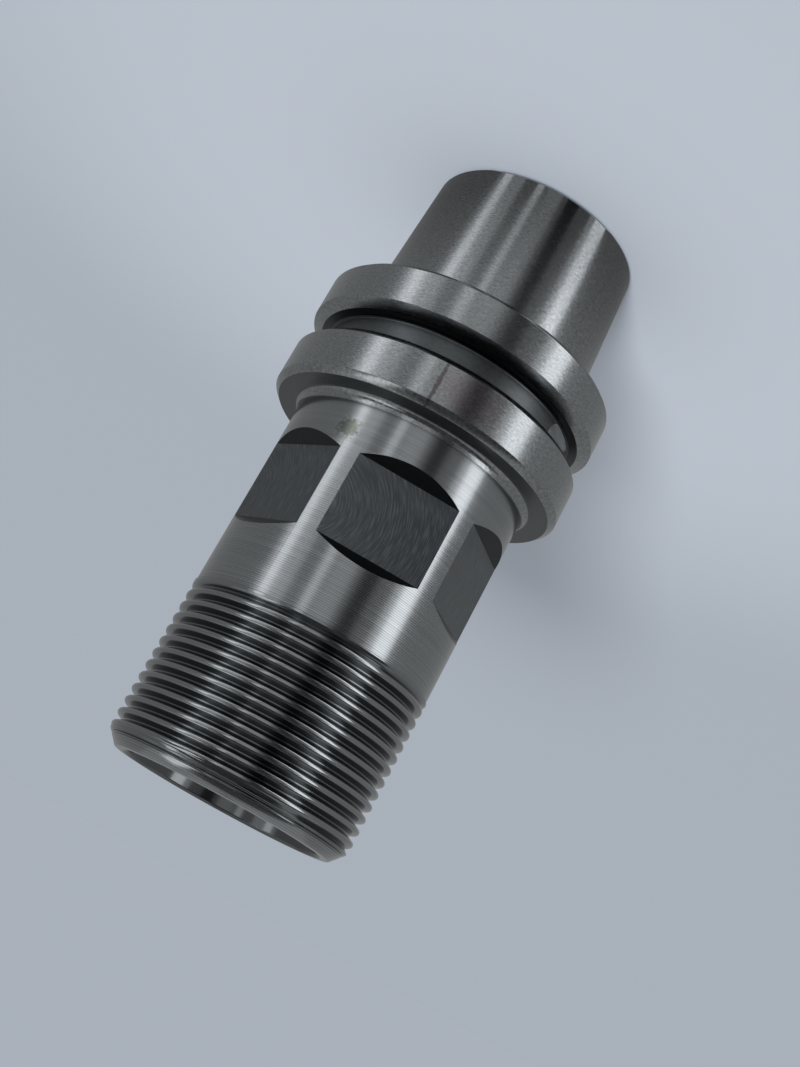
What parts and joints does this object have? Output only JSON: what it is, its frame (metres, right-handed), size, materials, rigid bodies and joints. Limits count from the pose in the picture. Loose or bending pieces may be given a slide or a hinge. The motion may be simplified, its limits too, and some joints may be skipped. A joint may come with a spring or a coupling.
{
  "type": "collet chuck holder",
  "caption": "Steel collet chuck holder with a hollow taper shank, gripper-groove flange, wrench flats and a threaded collet nose.",
  "frame": {"origin": "centre of the shank's end ring, on which it stands", "axes": "+Z along the axis of rotation, from the shank towards the collet mouth; one wrench flat faces -Y"},
  "size_m": [0.04, 0.04, 0.085],
  "materials": {
    "ground_steel": "ground and polished, hardened"
  },
  "bodies": {
    "root": {"holder_body": "ground_steel"}
  },
  "joints": []
}
